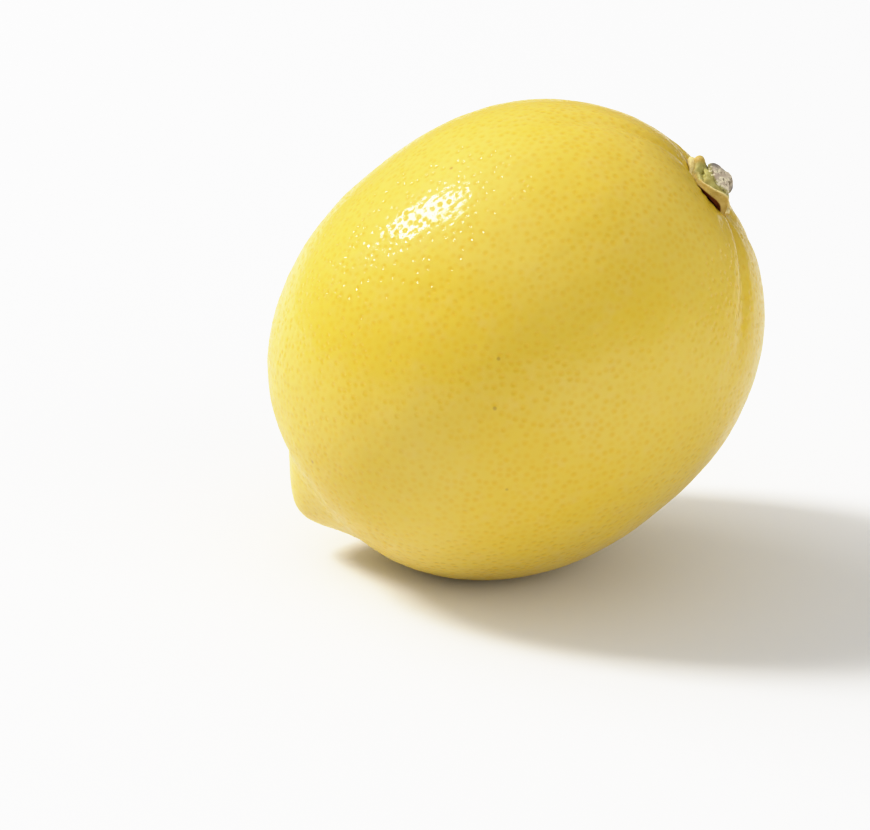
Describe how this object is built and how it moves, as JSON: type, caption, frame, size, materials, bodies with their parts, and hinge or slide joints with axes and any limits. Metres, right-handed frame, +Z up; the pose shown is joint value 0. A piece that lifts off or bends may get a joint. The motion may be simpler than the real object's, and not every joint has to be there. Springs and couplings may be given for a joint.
{
  "type": "lemon",
  "caption": "Whole ripe yellow lemon with a green-brown calyx and a short cut stem stub, resting tilted on a small flat spot, stem end raised.",
  "frame": {"origin": "centre of the small flat spot that the fruit rests on", "axes": "+Z up, out of the surface it rests on; the grown axis lies in the XZ plane, its stem end towards +X and 40.6 degrees above the surface; -Y is the side shown in the picture"},
  "size_m": [0.0693, 0.0619, 0.0667],
  "materials": {
    "peel": "waxy semi-gloss yellow peel, pitted with oil glands, with darker gland dots on a paler ground",
    "calyx": "dry matte olive-green sepals with tan and brown edges",
    "stem": "rough greyish-tan corky cut end"
  },
  "bodies": {
    "root": {"fruit": "peel", "calyx": "calyx", "stem_stub": "stem"}
  },
  "joints": []
}
